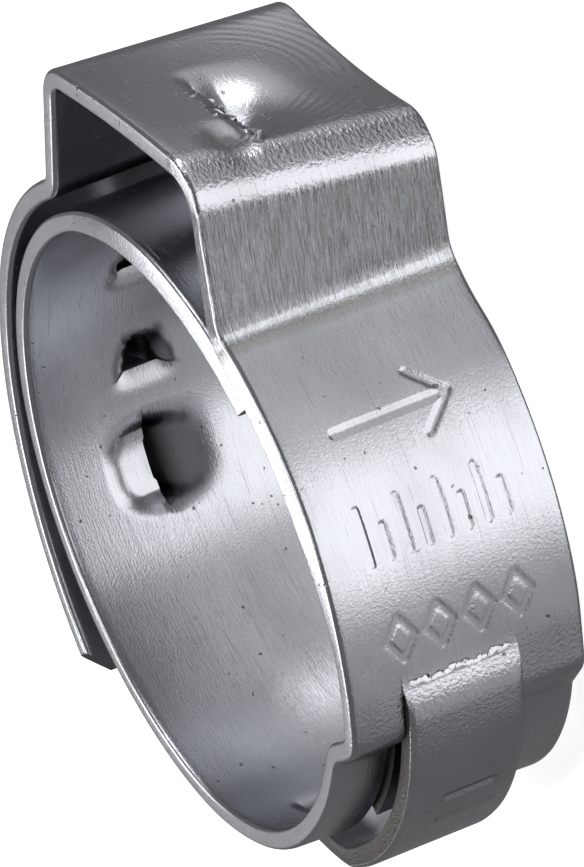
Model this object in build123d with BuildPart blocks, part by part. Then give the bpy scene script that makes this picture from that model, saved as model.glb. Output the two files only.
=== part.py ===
"""Stepless single-ear hose clamp: one band of stainless strip, bent and hooked onto itself.

Millimetres. The clamp lies on one edge of its band: the bore's axis is Z and the origin is its
centre at mid width. Seen from above, the ear stands out along +X, the layer with the joggle
runs through -Y, and the hooked overlap through +Y. Angles are about Z, counted from the ear.
"""

from build123d import *
import math
import os

# Driving dimensions
bore_radius = 8.75            # clamp open, as delivered
strip_thickness = 0.6
band_width = 7.2
edge_bevel = 0.17             # stands for the strip's rounded edges
layer_gap = 0.1               # between the inner layer and the joggled outer layer
overlap_gap = 0.4             # between the inner layer and the hooked outer layer

# Ear, measured on the middle of the strip's thickness and width
ear_left_top = (12.55, 4.12)
ear_right_top = (13.05, -4.6)
ear_left_lean = (0.37, -0.13)  # how far the ear's corners lean out at the band's upper edge
ear_right_lean = (0.57, 0.0)
ear_left_foot_angle = 30.0
ear_from_angle = 40.0         # the ear's stretch of the strip, with both feet
ear_to_angle = -37.0
ear_corner_radius = 1.05
left_foot_radius = 0.9
right_foot_radius = 0.65

# Hooked overlap behind the ear
flare_start_angle = 70.0
flare_radius = 12.6
flare_sweep = 58.0
end_corner = 0.7              # bevel on the free end's corners

# Joggle, bridge and tongue in front
joggle_start_angle = -102.0
joggle_end_angle = -109.5
joggle_bend_radius = 0.9
shoulder_angle = -40.0        # where the full-width inner layer ends
tongue_width = 3.4
tongue_thickness = 0.56       # coined a little thinner, so that it slides under the bridge
tongue_end_angle = -132.0
bridge_width = 3.5
bridge_shift = 0.23           # the slot, bridge and tongue lie a little above mid width
bridge_lift = 0.25            # how far the bridge stands above the outer layer
bridge_start_angle = -90.0
bridge_rise_angle = -94.0
bridge_fall_angle = -153.0
bridge_end_angle = -170.0
slit_width = 0.12

# Ear dimple
dimple_depth = 0.65
dimple_radius = 1.9
dimple_straight = 1.3
dimple_shift = -0.3           # along the ear's top

# Derived sizes
half_width = band_width / 2
inner_mid = bore_radius + strip_thickness / 2
joggled_mid = inner_mid + strip_thickness + layer_gap
hooked_mid = inner_mid + strip_thickness + overlap_gap
bridge_mid = joggled_mid + bridge_lift


def on_circle(radius, angle):
    """Point at a radius and an angle in degrees about the bore's axis."""
    return (radius * math.cos(math.radians(angle)), radius * math.sin(math.radians(angle)))


def wall_plane(radius, angle):
    """Plane facing outward from the bore, at mid width, with its x along the strip."""
    x, y = on_circle(radius, angle)
    along = (-math.sin(math.radians(angle)), math.cos(math.radians(angle)), 0)
    outward = (math.cos(math.radians(angle)), math.sin(math.radians(angle)), 0)
    return Plane(origin=(x, y, 0), x_dir=along, z_dir=outward)


# Hooks pressed outward from the inner layer: middle angle, length and width on the strip
small_hooks = ((66.0, 1.6, 1.5), (85.0, 2.1, 1.7))
small_hook_top = 10.8
drawn_hook_angle = 110.5
drawn_hook_length = 4.0
drawn_hook_width = 3.0
drawn_hook_top = 10.25
drawn_hook_slope = 0.55
window_clearance = 0.5
pressed_wall = 0.45           # strip drawn thinner at the hooks
inside_bore = bore_radius - 0.5
in_the_wall = bore_radius + 0.2

# Where the right leg of the ear meets the joggled layer
right_foot = (math.sqrt(joggled_mid**2 - ear_right_top[1] ** 2), ear_right_top[1])

# The ear's outer top face, with its x along the strip towards the left leg
ear_top_along = Vector(*ear_left_top) - Vector(*ear_right_top)
ear_top_lean = (ear_left_lean[0] + ear_right_lean[0]) / band_width
ear_top_outward = ear_top_along.normalized().rotate(Axis.Z, -90) - Vector(0, 0, ear_top_lean)
ear_top_middle = (Vector(*ear_left_top) + Vector(*ear_right_top)) * 0.5
ear_top = Plane(
    origin=ear_top_middle + ear_top_outward.normalized() * (strip_thickness / 2),
    x_dir=ear_top_along,
    z_dir=ear_top_outward,
)

with BuildPart() as clamp_band:
    # Hooked layer, from the free end to the ear
    with BuildSketch():
        with BuildLine() as hooked_path:
            hooked = CenterArc(
                (0, 0), hooked_mid, ear_from_angle, flare_start_angle - ear_from_angle
            )
            JernArc(hooked @ 1, hooked % 1, flare_radius, flare_sweep)
        trace(line_width=strip_thickness)
    extrude(amount=half_width, both=True)

    # Ear: its two edges' outlines, leaning apart, with the strip drawn straight between them
    for side in (-1, 1):
        left_top = Vector(*ear_left_top) + Vector(*ear_left_lean) * side
        right_top = Vector(*ear_right_top) + Vector(*ear_right_lean) * side
        with BuildSketch(Plane.XY.offset(side * half_width)):
            with BuildLine():
                left_foot = on_circle(hooked_mid, ear_left_foot_angle)
                CenterArc(
                    (0, 0), hooked_mid, ear_from_angle, ear_left_foot_angle - ear_from_angle
                )
                Polyline(left_foot, left_top, right_top, right_foot)
                foot_angle = math.degrees(math.atan2(right_foot[1], right_foot[0]))
                CenterArc((0, 0), joggled_mid, foot_angle, ear_to_angle - foot_angle)
                for corner, radius in (
                    (left_top, ear_corner_radius),
                    (right_top, ear_corner_radius),
                    (left_foot, left_foot_radius),
                    (right_foot, right_foot_radius),
                ):
                    fillet(vertices().sort_by_distance(corner)[0], radius)
            trace(line_width=strip_thickness)
    loft(ruled=True)

    # Joggled layer, joggle, and the inner layer round to its shoulder
    with BuildSketch():
        with BuildLine():
            CenterArc((0, 0), joggled_mid, ear_to_angle, joggle_start_angle - ear_to_angle)
            Line(
                on_circle(joggled_mid, joggle_start_angle),
                on_circle(inner_mid, joggle_end_angle),
            )
            CenterArc(
                (0, 0), inner_mid, joggle_end_angle, shoulder_angle - 360 - joggle_end_angle
            )
            for corner in (
                on_circle(joggled_mid, joggle_start_angle),
                on_circle(inner_mid, joggle_end_angle),
            ):
                fillet(vertices().sort_by_distance(corner)[0], joggle_bend_radius)
        trace(line_width=strip_thickness)
    extrude(amount=half_width, both=True)
    long_edges = [
        edge
        for edge in edges().filter_by(Plane.XY)
        if abs(edge.length - strip_thickness) > 0.01
    ]
    chamfer(long_edges, edge_bevel)

    # Free end: both corners bevelled
    end_point = hooked_path.line.vertices().sort_by_distance(on_circle(hooked_mid, 180))[0]
    end_angle = math.degrees(math.atan2(end_point.Y, end_point.X))
    with BuildSketch(wall_plane(inner_mid + strip_thickness, end_angle)):
        for side in (-1, 1):
            with BuildLine():
                Polyline(
                    (-end_corner, side * (half_width + 0.1)),
                    (1, side * (half_width + 0.1)),
                    (1, side * (half_width - end_corner - 1)),
                    close=True,
                )
            make_face()
    extrude(amount=3, mode=Mode.SUBTRACT)

    # Slot under the bridge, from the outer layer through the joggle into the inner layer
    slot_width = bridge_width + 2 * slit_width
    bridge_plane = Plane.XY.offset(bridge_shift)
    with BuildSketch(bridge_plane):
        with BuildLine():
            CenterArc(
                (0, 0), bridge_mid, bridge_rise_angle, bridge_end_angle - bridge_rise_angle
            )
        trace(line_width=3 * strip_thickness + 2 * (bridge_mid - inner_mid))
    extrude(amount=slot_width / 2, both=True, mode=Mode.SUBTRACT)

    # Bridge: the middle of the strip left standing at the outer layer's level
    with BuildSketch(bridge_plane):
        with BuildLine():
            Polyline(
                on_circle(joggled_mid, bridge_start_angle),
                on_circle(bridge_mid, bridge_rise_angle),
            )
            CenterArc(
                (0, 0), bridge_mid, bridge_rise_angle, bridge_fall_angle - bridge_rise_angle
            )
            Line(
                on_circle(bridge_mid, bridge_fall_angle), on_circle(inner_mid, bridge_end_angle)
            )
            CenterArc((0, 0), inner_mid, bridge_end_angle, -4)
            for angle in (bridge_rise_angle, bridge_fall_angle):
                corner = on_circle(bridge_mid, angle)
                fillet(vertices().sort_by_distance(corner)[0], joggle_bend_radius)
            corner = on_circle(inner_mid, bridge_end_angle)
            fillet(vertices().sort_by_distance(corner)[0], joggle_bend_radius)
        trace(line_width=strip_thickness)
    extrude(amount=bridge_width / 2, both=True)

    # Tongue: runs on from the shoulder at the inner layer's level, into the bridge
    with BuildSketch(bridge_plane):
        with BuildLine():
            CenterArc(
                (0, 0), inner_mid, shoulder_angle + 1, tongue_end_angle - shoulder_angle - 1
            )
        trace(line_width=tongue_thickness)
    extrude(amount=tongue_width / 2, both=True)

    # Windows in the hooked layer, one round each hook
    for angle, length, width in (
        *small_hooks,
        (drawn_hook_angle, drawn_hook_length, drawn_hook_width),
    ):
        with BuildSketch(wall_plane(hooked_mid - strip_thickness / 2 - 0.3, angle)):
            with Locations((window_clearance / 2, 0)):
                RectangleRounded(
                    length + 2 * window_clearance, width + 2 * window_clearance + 0.3, 0.4
                )
        extrude(amount=3, mode=Mode.SUBTRACT)

    # Small hooks: hoods pressed outward, open towards the free end
    for angle, length, width in small_hooks:
        lean = length / 4
        for grow, start, top, mode in (
            (pressed_wall, in_the_wall, small_hook_top, Mode.ADD),
            (0, inside_bore, small_hook_top - pressed_wall, Mode.SUBTRACT),
        ):
            with BuildSketch(wall_plane(start, angle)):
                RectangleRounded(length + grow, width + grow, 0.45 * width)
            with BuildSketch(wall_plane(top, angle)):
                with Locations((lean, 0)):
                    RectangleRounded(length / 2 + grow, width / 2 + grow, 0.2 * width)
            loft(mode=mode)
        with BuildSketch(wall_plane(in_the_wall + strip_thickness, angle)):
            with Locations((length / 2 + lean, 0)):
                Rectangle(length / 2, width + 2 * pressed_wall)
        extrude(amount=small_hook_top - in_the_wall, mode=Mode.SUBTRACT)

    # Drawn hook: a pocket with sloping sides and a slit along its floor
    for grow, start, top, mode in (
        (pressed_wall, in_the_wall, drawn_hook_top, Mode.ADD),
        (0, inside_bore, drawn_hook_top - pressed_wall, Mode.SUBTRACT),
    ):
        with BuildSketch(wall_plane(start, drawn_hook_angle)):
            RectangleRounded(drawn_hook_length + grow, drawn_hook_width + grow, 0.7)
        with BuildSketch(wall_plane(top, drawn_hook_angle)):
            RectangleRounded(
                drawn_hook_length - 2 * drawn_hook_slope + grow,
                drawn_hook_width - 3 * drawn_hook_slope + grow,
                0.4,
            )
        loft(mode=mode)
    with BuildSketch(wall_plane(drawn_hook_top - 1, drawn_hook_angle)):
        with Locations((0, 0.25)):
            SlotOverall(drawn_hook_length - 2 * drawn_hook_slope, 0.55)
    extrude(amount=1.2, mode=Mode.SUBTRACT)

    # Dimple in the ear's top: an oval scoop of one wall thickness
    scoop = ear_top.offset(dimple_radius - dimple_depth)
    for radius, mode in (
        (dimple_radius + pressed_wall, Mode.ADD),
        (dimple_radius, Mode.SUBTRACT),
    ):
        with BuildSketch(scoop):
            with Locations((dimple_shift, 0)):
                SlotCenterToCenter(dimple_straight, 2 * radius)
            split(bisect_by=Plane.XZ)
        revolve(axis=Axis(scoop.origin, scoop.x_dir), mode=mode)
        with BuildSketch(ear_top):
            Rectangle(2 * ear_left_top[1], band_width)
        extrude(amount=2 * dimple_radius, mode=Mode.SUBTRACT)


clamp_band.part.label = "clamp_band"
os.makedirs("parts", exist_ok=True)
export_step(clamp_band.part, "parts/clamp_band.step")
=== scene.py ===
"""Ear hose clamp: one stainless strip, bent and hooked onto itself, lying on one edge.

Sizes are in millimetres until a finished mesh is written in metres. Angles are in degrees about
the bore's axis, counted from the ear, and fall along the strip from its free end to the tongue.
"""

import logging
import math
from collections.abc import Callable
from dataclasses import dataclass, field
from enum import Enum

import bmesh
import bpy
import numpy as np
from mathutils import Matrix, Vector, noise


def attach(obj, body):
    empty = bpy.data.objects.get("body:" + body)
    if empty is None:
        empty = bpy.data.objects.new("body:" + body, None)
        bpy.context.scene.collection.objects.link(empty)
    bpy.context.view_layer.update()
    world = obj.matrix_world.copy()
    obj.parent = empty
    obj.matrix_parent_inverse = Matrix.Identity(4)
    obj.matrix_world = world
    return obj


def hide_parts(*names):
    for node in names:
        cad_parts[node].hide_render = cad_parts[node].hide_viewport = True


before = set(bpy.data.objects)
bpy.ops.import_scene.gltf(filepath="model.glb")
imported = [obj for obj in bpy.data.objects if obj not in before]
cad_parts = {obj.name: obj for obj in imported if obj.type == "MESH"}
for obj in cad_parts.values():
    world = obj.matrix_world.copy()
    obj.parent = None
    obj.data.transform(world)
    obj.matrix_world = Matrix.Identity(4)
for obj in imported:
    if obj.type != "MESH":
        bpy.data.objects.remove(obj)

logging.basicConfig(level=logging.INFO, format="%(message)s")
log = logging.getLogger("ear_clamp")

MM = 0.001
Line = np.ndarray


class Side(Enum):
    """The strip's two faces, by the height that they have on the flat blank."""

    OUTER = 1.0
    INNER = -1.0


@dataclass(frozen=True)
class BandSizes:
    """Sizes of the clamp's strip and of the way it is bent."""

    bore_radius: float = 8.75
    strip_thickness: float = 0.6
    band_width: float = 7.2
    edge_round: float = 0.15
    layer_gap: float = 0.1
    overlap_gap: float = 0.4

    ear_left_top: tuple[float, float] = (12.55, 4.12)
    ear_right_top: tuple[float, float] = (13.05, -4.6)
    ear_left_lean: tuple[float, float] = (0.37, -0.13)
    ear_right_lean: tuple[float, float] = (0.57, 0.0)
    ear_left_foot_angle: float = 30.0
    ear_right_foot_angle: float = -28.1
    ear_corner_radius: float = 1.05
    left_foot_radius: float = 0.9
    right_foot_radius: float = 1.0
    ear_top_start: float = 11.5
    ear_top_fade: float = 0.8
    ear_bow_middle: float = -0.4
    ear_bow_half_length: float = 3.6
    ear_bow_upper: float = 0.14
    ear_bow_lower: float = 0.26

    flare_start_angle: float = 70.0
    flare_radius: float = 12.6
    flare_sweep: float = 58.0
    end_corner: float = 0.7

    joggle_start_angle: float = -102.0
    joggle_end_angle: float = -109.5
    joggle_bend_radius: float = 0.8
    shoulder_angle: float = -400.0
    tongue_width: float = 3.4
    tongue_thickness: float = 0.56
    tongue_end_angle: float = -492.0
    bridge_width: float = 3.5
    bridge_shift: float = 0.23
    bridge_lift: float = 0.31
    bridge_start_angle: float = -92.0
    bridge_rise_angle: float = -97.0
    bridge_fall_angle: float = -153.0
    bridge_end_angle: float = -170.0
    bridge_edge_round: float = 0.16
    slit_width: float = 0.05
    slit_overruns: tuple[float, float] = (2.0, 3.0)

    @property
    def half_width(self) -> float:
        """Half the band's width."""
        return self.band_width / 2

    @property
    def inner_mid(self) -> float:
        """Radius of the inner layer's middle."""
        return self.bore_radius + self.strip_thickness / 2

    @property
    def joggled_mid(self) -> float:
        """Radius of the joggled layer's middle."""
        return self.inner_mid + self.strip_thickness + self.layer_gap

    @property
    def hooked_mid(self) -> float:
        """Radius of the hooked layer's middle."""
        return self.inner_mid + self.strip_thickness + self.overlap_gap


def on_circle(radius: float, angle: float) -> Vector:
    """Point at a radius and an angle in degrees about the bore's axis."""
    return Vector((radius * math.cos(math.radians(angle)), radius * math.sin(math.radians(angle))))


def direction(azimuth: float, elevation: float) -> Vector:
    """Unit vector towards an azimuth and an elevation in degrees."""
    level = on_circle(math.cos(math.radians(elevation)), azimuth)
    return Vector((*level, math.sin(math.radians(elevation))))


def polar_angle(point: Vector) -> float:
    """Angle in degrees of a point about the origin."""
    return math.degrees(math.atan2(point.y, point.x))


def near(angle: float, reference: float) -> float:
    """The same angle, by whole turns as close as it gets to a reference."""
    return angle + 360 * round((reference - angle) / 360)


def ease(x: Line) -> Line:
    """Smooth step from 0 to 1 over the same range, held beyond it."""
    x = np.clip(x, 0, 1)
    return x * x * (3 - 2 * x)


def box_distance(x: Line, y: Line, half_x: float, half_y: float, corner: float) -> Line:
    """Signed distance from a rounded rectangle's outline, negative inside it.

    Args:
        x: Places along the rectangle, from its middle.
        y: Places across it.
        half_x: Half its length.
        half_y: Half its width.
        corner: Radius of its corners.

    Returns:
        The distance of each place.
    """
    dx = np.abs(x) - half_x + corner
    dy = np.abs(y) - half_y + corner
    outside = np.hypot(np.maximum(dx, 0), np.maximum(dy, 0))
    return outside + np.minimum(np.maximum(dx, dy), 0) - corner


class StripPath:
    """Middle line of the strip's thickness, run by run from the free end to the tongue's end."""

    def __init__(self, sizes: BandSizes, step: float = 0.04) -> None:
        """Bends the line.

        Args:
            sizes: The clamp's sizes.
            step: Distance between the samples of a bend.
        """
        self.sizes = sizes
        self.step = step
        self._samples: list[tuple[float, float, float]] = []
        self._bend_the_strip()
        samples = np.array(self._samples)
        self.x, self.y, self.heading = samples.T
        steps = np.hypot(np.diff(self.x), np.diff(self.y))
        keep = np.concatenate(([True], steps > 1e-6))
        self.x, self.y, self.heading = self.x[keep], self.y[keep], self.heading[keep]
        steps = np.hypot(np.diff(self.x), np.diff(self.y))
        self.along = np.concatenate(([0.0], np.cumsum(steps)))
        self.angle = np.degrees(np.unwrap(np.arctan2(self.y, self.x)))
        self.length = float(self.along[-1])

    def _bend_the_strip(self) -> None:
        """Adds every run in the order in which the strip takes it."""
        z = self.sizes
        flare_centre = on_circle(z.hooked_mid - z.flare_radius, z.flare_start_angle)
        self._arc(
            flare_centre,
            z.flare_radius,
            z.flare_start_angle + z.flare_sweep,
            z.flare_start_angle,
        )
        left_foot = on_circle(z.hooked_mid, z.ear_left_foot_angle)
        left_top = Vector(z.ear_left_top)
        right_top = Vector(z.ear_right_top)
        right_foot = Vector((math.sqrt(z.joggled_mid**2 - right_top.y**2), right_top.y))
        self._ring_bend(left_foot, left_top, z.hooked_mid, z.left_foot_radius, 1, True)
        self._corner(left_foot, left_top, right_top, z.ear_corner_radius)
        self._corner(left_top, right_top, right_foot, z.ear_corner_radius)
        self._ring_bend(right_top, right_foot, z.joggled_mid, z.right_foot_radius, 1, False)
        step_top = on_circle(z.joggled_mid, z.joggle_start_angle)
        step_foot = on_circle(z.inner_mid, z.joggle_end_angle)
        self._ring_bend(step_top, step_foot, z.joggled_mid, z.joggle_bend_radius, -1, True)
        self._ring_bend(step_top, step_foot, z.inner_mid, z.joggle_bend_radius, 1, False)
        self._arc(Vector((0, 0)), z.inner_mid, self._ring_angle(), z.tongue_end_angle)

    def _ring_angle(self) -> float:
        """Unwrapped angle about the bore at which the line stands now."""
        x, y, heading = self._samples[-1]
        return near(math.degrees(math.atan2(y, x)), heading + 90)

    def _arc(self, centre: Vector, radius: float, start: float, end: float) -> None:
        """Adds an arc.

        Args:
            centre: Its centre.
            radius: Its radius.
            start: Angle of its first point, in degrees about the centre.
            end: Angle of its last point; a lower one runs clockwise.
        """
        turn = math.copysign(1, end - start)
        count = max(4, math.ceil(math.radians(abs(end - start)) * radius / self.step))
        for angle in np.linspace(start, end, count):
            point = centre + on_circle(radius, angle)
            self._samples.append((point.x, point.y, angle + 90 * turn))

    def _corner(self, before: Vector, corner: Vector, after: Vector, radius: float) -> None:
        """Adds a right-hand bend at a corner between two straight runs.

        Args:
            before: Where the first run comes from.
            corner: Where the two runs would meet.
            after: Where the second run goes to.
            radius: Radius of the bend.
        """
        into = (corner - before).normalized()
        out = (after - corner).normalized()
        sweep = into.angle(out)
        start = corner - into * radius * math.tan(sweep / 2)
        centre = start + Vector((into.y, -into.x)) * radius
        first = near(polar_angle(into), self._samples[-1][2])
        self._arc(centre, radius, first + 90, first + 90 - math.degrees(sweep))

    def _ring_bend(
        self, start: Vector, end: Vector, ring: float, radius: float, turn: int, leaves: bool
    ) -> None:
        """Bends between a ring about the bore and a straight run.

        Args:
            start: Where the run starts, on the ring if the strip leaves it.
            end: Where the run ends, on the ring if the strip joins it.
            ring: Radius of the ring.
            radius: Radius of the bend.
            turn: 1 for a bend outside the ring, -1 for one inside it.
            leaves: Whether the strip leaves the ring; it follows the ring up to the bend.
        """
        heading = (end - start).normalized()
        base = (start if leaves else end) + Vector((-heading.y, heading.x)) * (turn * radius)
        along = base.dot(heading)
        slack = math.sqrt(along**2 - base.length_squared + (ring + turn * radius) ** 2)
        centre = base + heading * min((-along - slack, -along + slack), key=abs)
        first, target = polar_angle(heading), polar_angle(centre) - 90
        if leaves:
            reach = near(polar_angle(centre), self._ring_angle() - 20)
            self._arc(Vector((0, 0)), ring, self._ring_angle(), reach)
            first, target = reach - 90, first
        else:
            first = near(first, self._samples[-1][2])
        last = near(target, first + turn * 40)
        self._arc(centre, radius, first - 90 * turn, last - 90 * turn)

    def at_angle(self, angle: float) -> float:
        """Distance along the strip at an unwrapped angle."""
        return float(np.interp(-angle, -self.angle, self.along))

    def place(self, along: Line) -> tuple[Line, Line, Line]:
        """Looks places up on the line.

        Args:
            along: Distances from the free end.

        Returns:
            The x and y of each place, and its heading in radians.
        """
        x = np.interp(along, self.along, self.x)
        y = np.interp(along, self.along, self.y)
        return x, y, np.radians(np.interp(along, self.along, self.heading))


@dataclass(frozen=True)
class PressedHook:
    """A hood pressed outward from the inner layer, open towards the free end."""

    angle: float
    length: float
    width: float
    shift: float = 0.1
    lift: float = 1.35
    lip: float = 0.22
    lip_length: float = 0.5
    slit: float = 0.06
    window_room: float = 0.35
    window_shift: float = 0.25

    def lifts(self, u: Line, v: Line, home: tuple[Line, Line]) -> Line:
        """How far each place stands out of the layer.

        Args:
            u: Places along the strip from the hook's middle.
            v: Places across it.
            home: The mesh's own places, which tell the two sides of a cut apart.

        Returns:
            The lift of each place.
        """
        half = self.length / 2
        t = np.clip((half - u) / self.length, 0, 1)
        reach = (self.width / 2 + 0.12) * np.sqrt(np.clip(1 - (1 - t) ** 2, 0.0, 1))
        across = ease((reach - np.abs(v - self.shift)) / (0.45 * self.width))
        hood = self.lift * ease(t) ** 0.7 * across
        beyond = np.clip(1 + (u + half) / self.lip_length, 0, 1)
        wide = ease((self.width / 2 + 0.35 - np.abs(v - self.shift)) / 0.6)
        lip = self.lip * beyond**2 * wide
        return np.where(home[0] > -half - 0.01, hood, lip)

    def cut(self, u: Line, v: Line) -> Line:
        """Which places the hood's mouth takes away.

        Args:
            u: Places along the strip from the hook's middle.
            v: Places across it.

        Returns:
            True at each place that goes.
        """
        mouth = -self.length / 2 - self.slit / 2
        away = np.abs(v - self.shift)
        return (np.abs(u - mouth) < self.slit / 2) & (away < self.width / 2 + 0.1)

    def stops(self) -> tuple[tuple[float, ...], tuple[float, ...]]:
        """Lines that the blank needs along and across the strip at the hook."""
        mouth = -self.length / 2
        return (mouth - self.slit, mouth), ()

    def window(self, u: Line, v: Line) -> Line:
        """Signed distance from the window in the outer layer that the hook holds."""
        return box_distance(
            u - self.window_shift,
            v - self.shift,
            self.length / 2 + 0.05,
            self.width / 2 + self.window_room,
            self.window_room,
        )


@dataclass(frozen=True)
class DrawnHook:
    """A pocket cut along its length: a deep slope on one side, a shallow lobe on the other."""

    angle: float = -249.6
    length: float = 2.75
    cut_at: float = 0.38
    lobe_width: float = 1.5
    slope_width: float = 2.1
    lobe_lift: float = 0.5
    slope_lift: float = 1.2
    slit: float = 0.06

    def lifts(self, u: Line, v: Line, home: tuple[Line, Line]) -> Line:
        """How far each place stands out of the layer.

        Args:
            u: Places along the strip from the hook's middle.
            v: Places across it.
            home: The mesh's own places, which tell the two sides of a cut apart.

        Returns:
            The lift of each place.
        """
        over = v - self.cut_at
        ends = ease((self.length / 2 + 0.22 - np.abs(u)) / 0.62)
        round_off = np.clip(np.abs(u) - 0.3, 0, 1.2) ** 2 * 0.55
        t = np.clip((self.lobe_width - over - round_off) / (self.lobe_width - 0.1), 0, 1)
        lobe = self.lobe_lift * (0.3 * ease(t / 0.35) + 0.7 * t)
        t = np.clip((self.slope_width + over) / self.slope_width, 0, 1)
        slope = self.slope_lift * (0.12 * t + 0.88 * t**2.4)
        slope *= ease((self.length / 2 + 0.22 - np.abs(u)) / (0.62 + 0.9 * (1 - t)))
        return np.where(home[1] > self.cut_at + self.slit / 2, ends * lobe, slope)

    def cut(self, u: Line, v: Line) -> Line:
        """Which places the cut takes away."""
        middle = self.cut_at + self.slit / 2
        return (np.abs(v - middle) < self.slit / 2) & (np.abs(u) < self.length / 2)

    def stops(self) -> tuple[tuple[float, ...], tuple[float, ...]]:
        """Lines that the blank needs along and across the strip at the hook."""
        return (-self.length / 2, self.length / 2), (self.cut_at, self.cut_at + self.slit)

    def window(self, u: Line, v: Line) -> Line:
        """Signed distance from the window in the outer layer that the hook holds."""
        return box_distance(u, v + 0.1, self.length / 2 + 0.5, 1.9, 0.4)


@dataclass(frozen=True)
class LayerSet:
    """How far the two edges of the strip stand off the true ring after bending.

    Each stop is an angle with the upper and the lower edge's distance, outward positive.
    """

    stops: tuple[tuple[float, float, float], ...] = (
        (-28.0, 0.0, 0.0),
        (-36.0, 0.0, -0.3),
        (-45.0, 0.0, 0.0),
        (-88.0, 0.0, -0.03),
        (-97.0, 0.0, -0.1),
        (-103.0, 0.0, 0.0),
        (-111.0, -0.36, 0.1),
        (-134.0, -0.33, 0.12),
        (-160.0, -0.08, 0.06),
        (-182.0, 0.07, 0.0),
        (-205.0, 0.03, 0.0),
        (-225.0, 0.0, 0.0),
    )

    def lifts(self, angle: Line, up: Line) -> Line:
        """How far each place stands off.

        Args:
            angle: Unwrapped angle of each place.
            up: Height of each place in the band, from 0 at its lower edge to 1.

        Returns:
            The distance of each place.
        """
        angles, upper, lower = np.array(self.stops[::-1]).T
        total = np.zeros_like(angle)
        for turn in np.linspace(-3, 3, 7):
            high = np.interp(angle + turn, angles, upper)
            low = np.interp(angle + turn, angles, lower)
            total += high * up + low * (1 - up)
        return total / 7


@dataclass(frozen=True)
class EarDimple:
    """The scoop in the ear's top, with a crinkled ridge on one side and a dent beyond it."""

    depth: float = 1.0
    half_length: float = 2.75
    reach: float = 2.9
    middle: float = -1.2
    ridge_at: float = 0.95
    ridge_ends: tuple[float, float] = (0.2, -3.8)
    ridge_above: float = 11.8
    crinkle: float = 1.0
    crinkle_limits: tuple[float, float] = (-0.24, 0.4)
    dent: tuple[float, float, float, float] = (-3.1, 1.7, 1.3, 0.9)
    dent_depth: float = 0.14

    def lifts(self, y: Line, v: Line) -> Line:
        """How far each place of the ear's top stands out; the scoop's depth is negative.

        Args:
            y: Places along the ear's top.
            v: Places across it.

        Returns:
            The lift of each place.
        """
        along = np.clip(np.abs(y - self.middle) / self.half_length, 0, 1)
        t = np.clip((v - self.ridge_at + self.reach) / self.reach, 0, 1)
        fall = np.clip(1.3 * t - 0.3 * ease((t - 0.75) / 0.25), 0, 1) ** 1.8
        along = np.clip(np.hypot(along, 0.55 * (1 - t) ** 2), 0, 1)
        wall = ease((self.ridge_at + 0.3 - v) / 0.34)
        bowl = self.depth * fall * (1 - ease(along)) * wall
        y0, v0, half_y, half_v = self.dent
        away = np.hypot((y - y0) / half_y, (v - v0) / half_v)
        dent = self.dent_depth * (1 - ease(away * 1.25 - 0.25)) * ease((v - 0.95) / 0.3)
        return -bowl - dent

    def crinkles(self, y: Line, v: Line) -> Line:
        """Depth of the ridge's crinkles in the outer face, coarser at the upper end.

        Args:
            y: Places along the ear's top.
            v: Places across it.

        Returns:
            The depth of each place.
        """
        start, end = self.ridge_ends
        run = np.clip((start - y) / (start - end), 0, 1)
        within = ease((start - y) / 0.5) * ease((y - end) / 0.5)
        band = np.abs(v - self.ridge_at + 0.08 - 0.08 * np.sin(3.1 * y)) / (0.58 - 0.3 * run)
        rough = np.array(
            [noise.noise(Vector((5.2 * p, 6.5 * q, 0.7))) for p, q in zip(y, v)]
        ) + 0.8 * np.array([noise.noise(Vector((13.0 * p, 15.0 * q, 3.1))) for p, q in zip(y, v)])
        depth = self.crinkle * (1.25 - 0.7 * run) * rough * within * (1 - ease(band))
        return np.clip(depth, *self.crinkle_limits)


@dataclass(frozen=True)
class BridgeCrack:
    """The ragged crack where the bridge leaves the band; its places along are in degrees."""

    before: float = 0.5
    step: float = 0.035
    step_width: float = 0.35
    depth: float = 0.11
    half_width: float = 0.42
    last_angle: float = -103.0
    fade_angle: float = 8.0
    margin: float = 0.1
    waves: tuple[tuple[float, float, float], ...] = (
        (0.3, 5.1, 0.0),
        (0.22, 14.7, 1.0),
        (0.1, 31.0, 0.0),
    )

    def lifts(self, angle: Line, v: Line, sizes: BandSizes) -> Line:
        """How far each place stands out, apart from the bridge's own rise.

        Args:
            angle: Unwrapped angle of each place.
            v: Places across the strip.
            sizes: The clamp's sizes.

        Returns:
            The lift of each place, negative in the crack.
        """
        ragged = sum(size * np.sin(v * rate + phase) for size, rate, phase in self.waves)
        past = sizes.bridge_start_angle - self.before + ragged - angle
        fade = ease((angle - self.last_angle) / self.fade_angle)
        torn = self.step * ease(past / self.step_width) * fade
        torn -= self.depth * (1 - ease(np.abs(past) / self.half_width))
        edge = sizes.bridge_width / 2 - self.margin - np.abs(v - sizes.bridge_shift)
        return np.where(angle > self.last_angle, torn * ease(edge / 0.5), 0)


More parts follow.
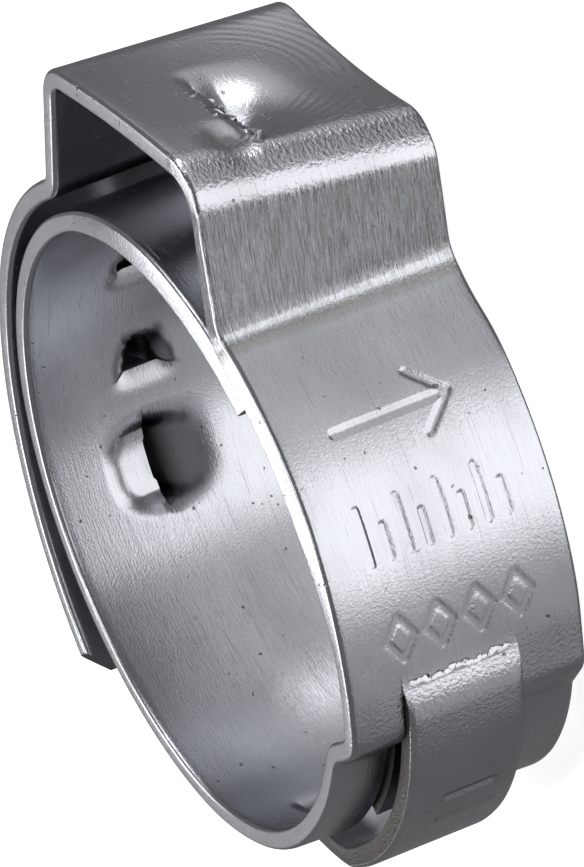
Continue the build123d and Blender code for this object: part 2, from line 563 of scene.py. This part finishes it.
@dataclass(frozen=True)
class Stamp:
    """Plain marks stamped into the outer face: an arrow, a scale and a row of diamonds."""

    depth: float = 0.05
    stroke: float = 0.16
    wall: float = 0.05

    def strokes(self) -> tuple[tuple[float, float, list[tuple[float, float, float, float]]], ...]:
        """The marks' strokes.

        Returns:
            For each row its angle, its share of the depth, and its strokes as the across and
            along places of two ends, the along places counted towards the ear.
        """
        arrow = [(-1.9, 0.0, 1.6, 0.0), (1.6, 0.0, 0.7, 0.85), (1.6, 0.0, 0.7, -0.85)]
        scale = [
            (-2.1 + 0.6 * i, -0.75, -2.1 + 0.6 * i, 0.75 if i % 2 == 0 else 0.15)
            for i in range(8)
        ]
        diamonds = []
        for i in range(4):
            x = -1.8 + 1.2 * i
            corners = ((x - 0.42, 0.0), (x, 0.62), (x + 0.42, 0.0), (x, -0.62))
            for near_end, far_end in zip(corners, corners[1:] + corners[:1]):
                diamonds.append(near_end + far_end)
        bars = [(-0.75, 0.5, 0.75, 0.5), (-0.75, -0.5, 0.75, -0.5)]
        return (
            (-50.0, 1.0, arrow),
            (-66.5, 0.9, scale),
            (-84.0, 0.5, diamonds),
            (-122.5, 1.8, bars),
        )

    def dents(self, s: Line, v: Line, places: Callable[[float], float]) -> Line:
        """Depth of the marks at each place.

        Args:
            s: Places along the strip.
            v: Places across it.
            places: Gives the place along the strip of an angle.

        Returns:
            The depth of each place.
        """
        depth = np.zeros_like(s)
        for angle, share, marks in self.strokes():
            along = places(angle) - s
            for x0, y0, x1, y1 in marks:
                dx, dy = x1 - x0, y1 - y0
                t = np.clip(((-v - x0) * dx + (along - y0) * dy) / (dx * dx + dy * dy), 0, 1)
                away = np.hypot(-v - x0 - t * dx, along - y0 - t * dy)
                dent = share * self.depth * (1 - ease((away - self.stroke / 2) / self.wall))
                depth = np.maximum(depth, dent)
        return depth


@dataclass
class ClampBand:
    """The clamp's strip: a flat blank, cut, embossed and folded up."""

    sizes: BandSizes = field(default_factory=BandSizes)
    hooks: tuple[PressedHook | DrawnHook, ...] = (
        PressedHook(-294.5, 1.4, 1.3),
        PressedHook(-271.8, 1.6, 1.5),
        DrawnHook(),
    )
    dimple: EarDimple = field(default_factory=EarDimple)
    layer_set: LayerSet = field(default_factory=LayerSet)
    crack: BridgeCrack = field(default_factory=BridgeCrack)
    stamp: Stamp = field(default_factory=Stamp)
    # Steps between the blank's cross lines, and the angles up to which they hold
    step_angles: tuple[float, ...] = (32, -31, -41, -90.5, -94, -112, -178, -238, -302, -400, -492)
    steps: tuple[float, ...] = (0.26, 0.14, 0.2, 0.16, 0.07, 0.15, 0.26, 0.32, 0.12, 0.3, 0.4)
    step_across: float = 0.2
    # First and last angle and lowest and highest place across of each finely divided field
    fine_fields: tuple[tuple[float, float, float, float], ...] = (
        (-42.5, -89.5, -2.6, 2.6),
        (-90.6, -94.0, -1.6, 2.1),
        (-118.0, -127.0, -1.1, 1.2),
        (3.5, -18.5, 0.25, 1.65),
    )
    # Angles, and how much of the tilt the band's upper edge has there
    tilt_angles: tuple[float, ...] = (-415, -400, -342, -326, -84, -62, -34, -22)
    tilt_shares: tuple[float, ...] = (0, 1, 1, 0, 0, 1, 1, 0)
    tilt: float = 0.09
    sharp_angle: float = 48.0

    def __post_init__(self) -> None:
        """Bends the middle line that the blank is folded on."""
        self.path = StripPath(self.sizes)
        z = self.sizes
        at = self.path.at_angle
        self.shoulder = at(z.shoulder_angle)
        above, below = z.slit_overruns
        self.slit_ends = (at(z.bridge_start_angle - above), at(z.bridge_end_angle + below))
        self.hook_places = [at(hook.angle) for hook in self.hooks]
        self.window_places = [at(hook.angle + 360) for hook in self.hooks]
        left_top = math.degrees(math.atan2(z.ear_left_top[1], z.ear_left_top[0]))
        right_top = math.degrees(math.atan2(z.ear_right_top[1], z.ear_right_top[0]))
        corners = (z.ear_left_foot_angle, left_top, right_top, z.ear_right_foot_angle)
        self.ear_stops = tuple(at(corner) for corner in corners)

    # The blank

    def _lines_along(self) -> Line:
        """Lays out the cross lines, closer together where the blank is bent or pressed.

        Returns:
            Their places along the strip.
        """
        marks = set(self.slit_ends)
        for place, hook in zip(self.hook_places, self.hooks):
            marks.update(place + stop for stop in hook.stops()[0])
        lines: list[float] = []
        start = 0.0
        for end_angle, step in zip(self.step_angles, self.steps):
            end = self.path.at_angle(end_angle)
            inner = sorted(mark for mark in marks if start < mark < end)
            stops = [start, *inner, end]
            for low, high in zip(stops, stops[1:]):
                count = max(1, round((high - low) / step))
                lines.extend(np.linspace(low, high, count, endpoint=False))
            start = end
        lines.append(self.path.length)
        return np.array(lines)

    def _lines_across(self) -> Line:
        """Lays out the long lines, closer together at the rounded edges.

        Returns:
            Their places across the strip.
        """
        z = self.sizes
        turns = np.radians([0, 18, 36, 54, 72, 90])
        edge = z.half_width - z.edge_round * (1 - np.cos(turns))
        half_bridge = z.bridge_width / 2
        half_tongue = z.tongue_width / 2
        soft = half_bridge - z.bridge_edge_round
        marks = {-edge[-1], edge[-1]}
        for side in (-1, 1):
            for away in (half_bridge + z.slit_width, half_bridge, half_tongue, soft):
                marks.add(z.bridge_shift + side * away)
        for hook in self.hooks:
            marks.update(hook.stops()[1])
        lines = [*-edge[:-1]]
        stops = sorted(marks)
        for low, high in zip(stops, stops[1:]):
            count = max(1, round((high - low) / self.step_across))
            lines.extend(np.linspace(low, high, count, endpoint=False))
        return np.array([*lines, edge[-1], *edge[-2::-1]])

    def _cut(self, s: Line, v: Line) -> Line:
        """Which places of the blank are punched out.

        Args:
            s: Places along the blank.
            v: Places across it.

        Returns:
            True at each place that goes.
        """
        z = self.sizes
        away = np.abs(v - z.bridge_shift)
        beside_tongue = (s > self.shoulder) & (away > z.tongue_width / 2)
        between = (away > z.bridge_width / 2) & (away < z.bridge_width / 2 + z.slit_width)
        gone = beside_tongue | (between & (s > self.slit_ends[0]) & (s < self.slit_ends[1]))
        for hook, place, window in zip(self.hooks, self.hook_places, self.window_places):
            gone |= hook.cut(s - place, v) | (hook.window(s - window, v) < 0)
        return gone

    def _blank(self) -> bmesh.types.BMesh:
        """Lays the flat blank out and punches it.

        Returns:
            A mesh whose x is the place along the strip and whose y is the place across it.
        """
        along, across = self._lines_along(), self._lines_across()
        bm = bmesh.new()
        bmesh.ops.create_grid(
            bm, x_segments=len(along) - 1, y_segments=len(across) - 1, size=0.5, calc_uvs=False
        )
        for vert in bm.verts:
            column = round((vert.co.x + 0.5) * (len(along) - 1))
            row = round((vert.co.y + 0.5) * (len(across) - 1))
            vert.co = (along[column], across[row], 0)
        faces = list(bm.faces)
        middles = np.array([face.calc_center_median()[:2] for face in faces])
        gone = self._cut(middles[:, 0], middles[:, 1])
        bmesh.ops.delete(
            bm, geom=[face for face, out in zip(faces, gone) if out], context="FACES"
        )
        z = self.sizes
        for side in (-1, 1):
            bmesh.ops.bisect_plane(
                bm,
                geom=bm.verts[:] + bm.edges[:] + bm.faces[:],
                plane_co=(0, side * (z.half_width - z.end_corner), 0),
                plane_no=(-1, side, 0),
                clear_outer=True,
            )
        self._true_windows(bm)
        return bm

    def _true_windows(self, bm: bmesh.types.BMesh) -> None:
        """Draws the windows' stepped outlines onto their rounded ones.

        Args:
            bm: The flat blank.
        """
        edge_verts = [vert for vert in bm.verts if vert.is_boundary]
        for hook, place in zip(self.hooks, self.window_places):
            for vert in edge_verts:
                u, v = np.array([vert.co.x - place]), np.array([vert.co.y])
                gap = float(hook.window(u, v)[0])
                if abs(gap) < 0.2:
                    du = float(hook.window(u + 0.01, v)[0]) - gap
                    dv = float(hook.window(u, v + 0.01)[0]) - gap
                    size = math.hypot(du, dv) or 1.0
                    vert.co.x -= gap * du / size
                    vert.co.y -= gap * dv / size

    def _refine(self, bm: bmesh.types.BMesh) -> None:
        """Divides the outer face where it is stamped or crinkled.

        Args:
            bm: The flat blank with its two faces.
        """
        for first, last, low, high in self.fine_fields:
            start, end = self.path.at_angle(first), self.path.at_angle(last)
            edges = {
                edge
                for face in bm.faces
                if face.calc_center_median().z > Side.OUTER.value - 0.1
                and start < face.calc_center_median().x < end
                and low < face.calc_center_median().y < high
                for edge in face.edges
            }
            bmesh.ops.subdivide_edges(bm, edges=list(edges), cuts=2, use_grid_fill=True)

    # The folding

    def _bridge(self, s: Line, v: Line) -> Line:
        """How far the bridge's middle stands out of the strip beside it.

        Args:
            s: Places along the blank.
            v: Places across it.

        Returns:
            The radial lift of each place.
        """
        z = self.sizes
        x, y, _ = self.path.place(s)
        angle = np.interp(s, self.path.along, self.path.angle)
        bridge_mid = z.joggled_mid + z.bridge_lift
        torn = self.crack.lifts(angle, v, z)
        stops = (
            z.bridge_end_angle,
            z.bridge_fall_angle,
            z.bridge_rise_angle,
            z.bridge_start_angle,
        )
        radii = (z.inner_mid, bridge_mid, bridge_mid, z.joggled_mid)
        spread = sum(np.interp(angle + d, stops, radii) for d in (-1.6, -0.8, 0, 0.8, 1.6)) / 5
        rise = np.maximum(spread - np.hypot(x, y), 0)
        inside = (angle < z.bridge_start_angle + 2) & (angle > z.bridge_end_angle - 2)
        return np.where(inside, rise + torn * (1 - ease(rise / 0.1)), 0)

    def _ear_lean(self, s: Line, side: Line) -> tuple[Line, Line]:
        """How far the ear's two edges lean apart.

        Args:
            s: Places along the blank.
            side: Places across it, from -1 at the lower edge to 1 at the upper.

        Returns:
            The shifts in x and in y.
        """
        z = self.sizes
        lean_x = np.interp(s, self.ear_stops, (0, z.ear_left_lean[0], z.ear_right_lean[0], 0))
        lean_y = np.interp(s, self.ear_stops, (0, z.ear_left_lean[1], z.ear_right_lean[1], 0))
        return lean_x * side, lean_y * side

    def _middle(self, s: Line, v: Line, home: tuple[Line, Line]) -> Line:
        """Places of the folded strip's middle surface.

        Args:
            s: Places along the blank.
            v: Places across it.
            home: The mesh's own places, which tell the two sides of a slit apart.

        Returns:
            One row of x, y and z for each place.
        """
        z = self.sizes
        x, y, heading = self.path.place(s)
        up = (v + z.half_width) / z.band_width
        angle = np.interp(s, self.path.along, self.path.angle)
        lift = self.layer_set.lifts(angle, up)
        for hook, place in zip(self.hooks, self.hook_places):
            lift += hook.lifts(s - place, v, (home[0] - place, home[1]))
        over = np.abs(home[1] - z.bridge_shift) < (z.bridge_width + z.slit_width) / 2
        bridge = np.where(over, self._bridge(s, v), 0)
        lift *= 1 - ease(bridge / 0.5)
        radius = np.hypot(x, y)
        on_ear = (s > self.ear_stops[0]) & (s < self.ear_stops[3])
        above = x - z.ear_top_start
        top = np.where(on_ear & (above > 0), ease(above / z.ear_top_fade), 0)
        lift += top * self.dimple.lifts(y, v)
        from_middle = np.clip((y - z.ear_bow_middle) / z.ear_bow_half_length, -1, 1)
        bow = np.where(on_ear, 1 - from_middle**2, 0) * top
        lift += bow * (z.ear_bow_upper * up - z.ear_bow_lower * (1 - up))
        x, y = (
            x * (1 + bridge / radius) - lift * np.sin(heading),
            y * (1 + bridge / radius) + lift * np.cos(heading),
        )
        lean_x, lean_y = self._ear_lean(s, 2 * up - 1)
        return np.stack((x + lean_x, y + lean_y, v), axis=1)

    def _half_thickness(self, s: Line, v: Line, side: Line) -> Line:
        """Half the strip's thickness, less where an edge is round or a face is stamped.

        Args:
            s: Places along the blank.
            v: Places across it.
            side: Which face each place is on.

        Returns:
            The distance of each place from the strip's middle surface.
        """
        z = self.sizes
        inset = np.clip(z.half_width - np.abs(v), 0, z.edge_round)
        drop = z.edge_round - np.sqrt(z.edge_round**2 - (z.edge_round - inset) ** 2)
        thickness = np.where(s > self.shoulder, z.tongue_thickness, z.strip_thickness)
        half = thickness / 2 - drop
        outer = side > 0
        half -= np.where(outer, self.stamp.dents(s, v, self.path.at_angle), 0)
        x, y, _ = self.path.place(s)
        on_ear = (s > self.ear_stops[0]) & (s < self.ear_stops[3])
        ridged = np.nonzero(outer & on_ear & (x > self.dimple.ridge_above))
        half[ridged] -= self.dimple.crinkles(y[ridged], v[ridged])
        edge = z.bridge_width / 2 - np.abs(v - z.bridge_shift)
        soft = z.bridge_edge_round
        on_bridge = (s > self.slit_ends[0]) & (s < self.slit_ends[1]) & (edge > -0.01)
        fade = ease((s - self.slit_ends[0]) / 1.2) * ease((self.slit_ends[1] - s) / 0.6)
        away = soft - np.clip(edge, 0, soft)
        round_off = soft - np.sqrt(soft**2 - away**2)
        return half - np.where(outer & on_bridge, 0.85 * round_off * fade, 0)

    def _fold(self, mesh: bpy.types.Mesh) -> None:
        """Moves the flat mesh's vertices to their places on the folded strip.

        Args:
            mesh: The flat blank's mesh in millimetres, which leaves in metres.
        """
        z = self.sizes
        flat = np.empty(len(mesh.vertices) * 3)
        mesh.vertices.foreach_get("co", flat)
        s, v, side = flat.reshape(-1, 3).T
        home = (s, v)
        nudge = 0.012
        ahead = self._middle(s + nudge, v, home) - self._middle(s - nudge, v, home)
        up = self._middle(s, v + nudge, home) - self._middle(s, v - nudge, home)
        outward = np.cross(up, ahead)
        outward /= np.linalg.norm(outward, axis=1, keepdims=True)
        half = self._half_thickness(s, v, side)
        places = self._middle(s, v, home) + outward * (side * half)[:, None]
        angle = np.interp(s, self.path.along, self.path.angle)
        sheared = np.interp(angle, self.tilt_angles, self.tilt_shares)
        upper = ease((v - z.half_width + 0.45) / 0.3)
        places[:, 2] -= self.tilt * side * sheared * upper
        mesh.vertices.foreach_set("co", (places * MM).ravel())
        mesh.update()

    def build(self, finishes: list[bpy.types.Material]) -> bpy.types.Object:
        """Makes the strip.

        Args:
            finishes: The rolled faces' material and the cut edges' material.

        Returns:
            The finished object, riding on the clamp's body.
        """
        bm = self._blank()
        faces = list(bm.faces)
        copy = bmesh.ops.extrude_face_region(bm, geom=faces, use_keep_orig=True)
        raised = {item for item in copy["geom"] if isinstance(item, bmesh.types.BMVert)}
        for vert in bm.verts:
            vert.co.z = (Side.OUTER if vert in raised else Side.INNER).value
        edge = self.sizes.half_width - 0.01
        for face in bm.faces:
            middle = face.calc_center_median()
            face.material_index = int(abs(middle.z) < 0.5 and abs(middle.y) < edge)
        self._refine(bm)
        layer = bm.loops.layers.uv.new("strip")
        for face in bm.faces:
            for loop in face.loops:
                height = face.calc_center_median().z
                aside = 0.03 * loop.vert.co.z if abs(height) < 0.5 else 2.0 * (height < 0)
                loop[layer].uv = (loop.vert.co.x / 10, loop.vert.co.y / 10 + aside)
        mesh = bpy.data.meshes.new("strip_band")
        bm.to_mesh(mesh)
        bm.free()
        self._fold(mesh)
        bm = bmesh.new()
        bm.from_mesh(mesh)
        bmesh.ops.recalc_face_normals(bm, faces=bm.faces[:])
        for face in bm.faces:
            face.smooth = True
        bm.to_mesh(mesh)
        bm.free()
        mesh.set_sharp_from_angle(angle=math.radians(self.sharp_angle))
        for finish in finishes:
            mesh.materials.append(finish)
        band = bpy.data.objects.new("strip_band", mesh)
        bpy.context.collection.objects.link(band)
        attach(band, "root")
        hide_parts("clamp_band")
        log.info("strip_band: %d faces, %.1f mm of strip", len(mesh.polygons), self.path.length)
        return band


class Value:
    """A socket that carries a number, with Python's arithmetic on it."""

    def __init__(self, bench: "NodeBench", socket: bpy.types.NodeSocket) -> None:
        """Wraps a socket of a bench's node tree."""
        self.bench = bench
        self.socket = socket

    def __add__(self, other: "Value | float") -> "Value":
        """Sum."""
        return self.bench.math("ADD", self, other)

    __radd__ = __add__

    def __sub__(self, other: "Value | float") -> "Value":
        """Difference."""
        return self.bench.math("SUBTRACT", self, other)

    def __rsub__(self, other: "Value | float") -> "Value":
        """Difference, the other way round."""
        return self.bench.math("SUBTRACT", other, self)

    def __mul__(self, other: "Value | float") -> "Value":
        """Product."""
        return self.bench.math("MULTIPLY", self, other)

    __rmul__ = __mul__

    def between(self, low: float, high: float) -> "Value":
        """Smooth step from 0 at low to 1 at high."""
        node = self.bench.node(
            "ShaderNodeMapRange",
            {"interpolation_type": "SMOOTHSTEP"},
            {"Value": self, "From Min": low, "From Max": high},
        )
        return Value(self.bench, node.outputs["Result"])


class NodeBench:
    """Adds nodes to one material or world."""

    def __init__(self, tree: bpy.types.NodeTree) -> None:
        """Takes an empty node tree."""
        self.tree = tree
        tree.nodes.clear()

    def node(
        self, kind: str, settings: dict[str, object] | None = None, inputs: dict | None = None
    ) -> bpy.types.Node:
        """Adds a node.

        Args:
            kind: The node's type.
            settings: Its properties, which are set first.
            inputs: Values or links of its sockets, by name or number.

        Returns:
            The node.
        """
        node = self.tree.nodes.new(kind)
        for name, value in (settings or {}).items():
            setattr(node, name, value)
        for key, value in (inputs or {}).items():
            socket = node.inputs[key]
            if isinstance(value, Value):
                self.tree.links.new(value.socket, socket)
            elif isinstance(value, bpy.types.NodeSocket):
                self.tree.links.new(value, socket)
            else:
                socket.default_value = value
        return node

    def math(self, operation: str, *values: Value | float) -> Value:
        """Adds a Math node and gives its result."""
        node = self.node("ShaderNodeMath", {"operation": operation}, dict(enumerate(values)))
        return Value(self, node.outputs[0])

    def mix(self, factor: Value | float, first: object, second: object) -> bpy.types.NodeSocket:
        """Mixes two colours, each a value or a socket."""
        node = self.node(
            "ShaderNodeMix", {"data_type": "RGBA"}, {"Factor": factor, 6: first, 7: second}
        )
        return node.outputs[2]


@dataclass(frozen=True)
class RolledSteel:
    """Cold-rolled stainless strip, with the marks of rolling, pressing and handling, and painted
    shade in the hooks' pockets, at the windows and under the bridge.
    """

    path: StripPath
    name: str = "rolled_stainless"
    colour: tuple[float, float, float] = (0.55, 0.562, 0.602)
    roughness: float = 0.24
    peel: float = 0.35
    dull: tuple[float, float, float, float] = (0.36, 0.33, 0.29, 1.0)
    dirt: tuple[float, float, float, float] = (0.12, 0.11, 0.1, 1.0)
    shade: tuple[float, float, float, float] = (0.02, 0.02, 0.022, 1.0)
    bump_distance: float = 0.000016
    # Stretches of the strip: first angle, last angle and soft border
    shoulder: tuple[float, float, float] = (-14.5, -20.6, 0.1)
    leg: tuple[float, float, float] = (-20.8, -29.0, 0.2)
    foot: tuple[float, float, float] = (-30.6, -32.4, 0.2)
    bulge: tuple[float, float, float] = (-92.0, -108.0, 0.6)
    # Shaded places of the inner face: angles, places across, soft border and depth of shade
    pockets: tuple[tuple[float, float, float, float, float, float], ...] = (
        (-240.9, -258.2, -0.005, 0.034, 0.065, 0.93),
        (-267.0, -275.6, -0.045, 0.06, 0.03, 0.93),
        (-290.3, -298.3, -0.04, 0.055, 0.03, 0.93),
        (96.0, 83.0, -0.07, 0.09, 0.03, 0.93),
        (73.0, 61.0, -0.07, 0.09, 0.03, 0.93),
        (-95.0, -168.0, 0.1, 0.22, 0.05, 0.85),
    )

    def _noise(
        self, bench: NodeBench, uv: object, scale: tuple[float, float], detail: float
    ) -> Value:
        """Adds a noise.

        Args:
            bench: The material's nodes.
            uv: Socket of the strip's own coordinates.
            scale: Turns per centimetre along and across the strip.
            detail: The noise's detail.

        Returns:
            The noise.
        """
        place = bench.node("ShaderNodeMapping", {}, {"Vector": uv, "Scale": (*scale, 1.0)})
        texture = bench.node(
            "ShaderNodeTexNoise",
            {},
            {"Vector": place.outputs["Vector"], "Scale": 1.0, "Detail": detail},
        )
        return Value(bench, texture.outputs["Fac"])

    def _span(self, along: Value, start: float, end: float, soft: float) -> Value:
        """Marks a stretch of the strip.

        Args:
            along: Place along the strip, in centimetres.
            start: Angle at which the stretch starts.
            end: Angle at which it ends.
            soft: Half the width of its soft borders, in millimetres.

        Returns:
            1 within the stretch and 0 outside.
        """
        low, high = self.path.at_angle(start) / 10, self.path.at_angle(end) / 10
        soft /= 10
        return along.between(low - soft, low + soft) * (1 - along.between(high - soft, high + soft))

    def _press_rings(self, bench: NodeBench, along: Value, across: Value) -> Value:
        """Adds the faint rings that the punch left round the ear's scoop.

        Args:
            bench: The material's nodes.
            along: Place along the strip, in centimetres.
            across: Place across it, in centimetres.

        Returns:
            The rings' height.
        """
        du = along - self.path.at_angle(2.0) / 10
        dv = across - 0.02
        away = bench.math("SQRT", du * du + dv * dv)
        waves = bench.math("SINE", away * 210.0)
        within = away.between(0.2, 0.26) * (1 - away.between(0.4, 0.48))
        return waves * within * (1 - across.between(-0.12, -0.04)) * 0.13

    def make(self) -> bpy.types.Material:
        """Makes the material.

        Returns:
            The material.
        """
        material = bpy.data.materials.new(self.name)
        material.use_nodes = True
        bench = NodeBench(material.node_tree)
        uv = bench.node("ShaderNodeUVMap", {"uv_map": "strip"}).outputs["UV"]
        parts = bench.node("ShaderNodeSeparateXYZ", {}, {"Vector": uv}).outputs
        along = Value(bench, parts["X"])
        streaks = self._noise(bench, uv, (9.0, 330.0), 4.0)
        scratches = self._noise(bench, uv, (3.5, 210.0), 2.0).between(0.67, 0.72)
        grain = self._noise(bench, uv, (150.0, 150.0), 3.0)
        dimples = self._noise(bench, uv, (92.0, 92.0), 2.5)
        cloud = self._noise(bench, uv, (2.2, 3.1), 5.0)
        pits = self._noise(bench, uv, (34.0, 34.0), 1.0).between(0.73, 0.78)
        ragged = (streaks - 0.5) * 0.05 + (dimples - 0.5) * 0.03
        shoulder = self._span(along + ragged, *self.shoulder)
        leg = self._span(along + ragged, *self.leg)
        foot = self._span(along + ragged, *self.foot)
        bulge = self._span(along, *self.bulge)
        bore = Value(bench, parts["Y"]).between(1.0, 1.2)
        height = (
            grain * 0.35
            + dimples * (self.peel * (1 - bore * 0.8) + shoulder * 1.2 + bulge * 0.9 + foot * 0.8)
            + streaks * (0.25 + leg * 2.4)
            + self._press_rings(bench, along, Value(bench, parts["Y"]))
            - scratches * (0.12 + leg * 0.3)
            - pits * 0.7
        )
        bump = bench.node(
            "ShaderNodeBump",
            {},
            {"Height": height, "Strength": 1.0, "Distance": self.bump_distance},
        )
        rough = (
            self.roughness
            + (streaks - 0.5) * 0.14
            + (cloud - 0.5) * 0.16
            + leg * 0.04
            - shoulder * 0.05
        )
        full, dark = (*self.colour, 1.0), (*(0.72 * c for c in self.colour), 1.0)
        colour = bench.mix(cloud.between(0.38, 0.66) * 0.5, full, dark)
        colour = bench.mix(streaks.between(0.45, 0.7) * (0.16 + leg * 0.7), colour, self.dull)
        colour = bench.mix(foot * 0.55, colour, self.dull)
        colour = bench.mix(pits * 0.7, colour, self.dirt)
        across = Value(bench, parts["Y"]) - 2.0
        # Painted shade: the shade colour darkens the inner face where shadow falls, in the hooks'
        # pockets, at the windows and under the bridge
        for start, end, low, high, soft, depth in self.pockets:
            beside = across.between(low - soft, low) * (1 - across.between(high, high + 0.012))
            within = self._span(along, start, end, 0.25) * beside
            colour = bench.mix(within * depth, colour, self.shade)
        shader = bench.node(
            "ShaderNodeBsdfPrincipled",
            {},
            {
                "Base Color": colour,
                "Metallic": 1.0,
                "Roughness": rough,
                "Normal": bump.outputs["Normal"],
            },
        )
        bench.node("ShaderNodeOutputMaterial", {}, {"Surface": shader.outputs["BSDF"]})
        return material


@dataclass(frozen=True)
class Lamp:
    """A soft panel light that faces the clamp."""

    name: str
    azimuth: float
    elevation: float
    distance: float
    size: tuple[float, float]
    level: float

    def hang(self) -> None:
        """Makes the lamp, as bright to look at as its level times white."""
        data = bpy.data.lights.new(self.name, "AREA")
        data.shape = "RECTANGLE"
        data.size, data.size_y = self.size
        data.energy = math.pi * self.level * self.size[0] * self.size[1]
        lamp = bpy.data.objects.new(self.name, data)
        bpy.context.collection.objects.link(lamp)
        aim = direction(self.azimuth, self.elevation)
        lamp.location = aim * self.distance
        lamp.rotation_euler = aim.to_track_quat("Z", "Y").to_euler()
        lamp.visible_camera = False


@dataclass
class Studio:
    """Pale floor, soft lights and the camera."""

    sizes: BandSizes = field(default_factory=BandSizes)
    azimuth: float = -55.669
    elevation: float = 19.663
    roll: float = 111.492
    distance: float = 413.079
    target: tuple[float, float, float] = (1.28233, 0.63936, -0.54635)
    lens: float = 931.25
    world_level: float = 0.17
    floor_white: float = 0.8
    floor_half: float = 0.6
    lamps: tuple[Lamp, ...] = (
        Lamp("front_sheet", -74.0, -30.0, 0.2, (0.16, 0.37), 1.5),
        Lamp("side_sheet", -20.0, -14.0, 0.2, (0.24, 0.13), 0.6),
        Lamp("back_sheet", -118.0, -25.0, 0.22, (0.15, 0.16), 0.3),
        Lamp("rim", 113.0, 53.0, 0.2, (0.16, 0.09), 3.4),
        Lamp("left_sheet", 38.0, -18.0, 0.2, (0.14, 0.13), 0.5),
        Lamp("high", 22.0, 27.0, 0.25, (0.12, 0.1), 3.2),
        Lamp("spot", 21.0, -6.0, 0.25, (0.09, 0.085), 5.0),
        Lamp("far_sheet", 124.0, 19.0, 0.25, (0.15, 0.1), 0.32),
        Lamp("overhead", -20.0, 84.0, 0.25, (0.08, 0.08), 3.0),
    )

    def camera(self) -> None:
        """Stands the camera up, a long lens from far away, turned on its side."""
        back = direction(self.azimuth, self.elevation)
        level = direction(self.azimuth + 90, 0)
        above = back.cross(level)
        roll = math.radians(self.roll)
        up = above * math.cos(roll) + level * math.sin(roll)
        right = up.cross(back)
        place = (Vector(self.target) + back * self.distance) * MM
        data = bpy.data.cameras.new("camera")
        data.sensor_fit = "HORIZONTAL"
        data.sensor_width = 36
        data.lens = self.lens
        data.clip_start = 0.01
        camera = bpy.data.objects.new("camera", data)
        bpy.context.collection.objects.link(camera)
        camera.matrix_world = Matrix.Translation(place) @ Matrix(
            (right, up, back)
        ).transposed().to_4x4()
        bpy.context.scene.camera = camera

    def floor(self) -> None:
        """Lays the floor and gives it a white that keeps the clamp's shadow."""
        bm = bmesh.new()
        bmesh.ops.create_grid(bm, x_segments=1, y_segments=1, size=self.floor_half)
        bmesh.ops.translate(bm, verts=bm.verts[:], vec=(0, 0, -self.sizes.half_width * MM))
        mesh = bpy.data.meshes.new("floor")
        bm.to_mesh(mesh)
        bm.free()
        floor = bpy.data.objects.new("floor", mesh)
        bpy.context.collection.objects.link(floor)
        material = bpy.data.materials.new("pale_floor")
        material.use_nodes = True
        bench = NodeBench(material.node_tree)
        rays = bench.node("ShaderNodeLightPath").outputs
        seen = Value(bench, rays["Is Camera Ray"])
        for kind in ("Is Glossy Ray", "Is Transmission Ray"):
            seen = seen + Value(bench, rays[kind])
        strength = seen * self.floor_white
        white = (self.floor_white,) * 3 + (1,)
        matt = bench.node("ShaderNodeBsdfDiffuse", {}, {"Color": white})
        glow = bench.node("ShaderNodeEmission", {}, {"Color": (1, 1, 1, 1), "Strength": strength})
        bright = bench.node("ShaderNodeAddShader", {}, {0: matt.outputs[0], 1: glow.outputs[0]})
        bench.node("ShaderNodeOutputMaterial", {}, {"Surface": bright.outputs[0]})
        mesh.materials.append(material)
        floor.visible_glossy = False
        floor.visible_shadow = False

    def lights(self) -> None:
        """Hangs the soft lights and sets the world's level."""
        world = bpy.data.worlds.new("studio")
        bpy.context.scene.world = world
        world.use_nodes = True
        bench = NodeBench(world.node_tree)
        back = bench.node(
            "ShaderNodeBackground", {}, {"Color": (1, 1, 1, 1), "Strength": self.world_level}
        )
        bench.node("ShaderNodeOutputWorld", {}, {"Surface": back.outputs[0]})
        for lamp in self.lamps:
            lamp.hang()

    def set_up(self) -> None:
        """Makes the whole studio."""
        self.camera()
        self.floor()
        self.lights()
        bpy.context.scene.view_settings.view_transform = "Standard"
        log.info("studio: camera, floor and lights")


def main() -> None:
    """Builds the clamp, dresses it and sets the studio up."""
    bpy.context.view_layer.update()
    band = ClampBand()
    rolled = RolledSteel(band.path)
    sheared = RolledSteel(
        band.path, name="sheared_stainless", colour=(0.14, 0.132, 0.127), roughness=0.42, peel=2.6
    )
    band.build([rolled.make(), sheared.make()])
    Studio().set_up()


if __name__ == "__main__":
    main()
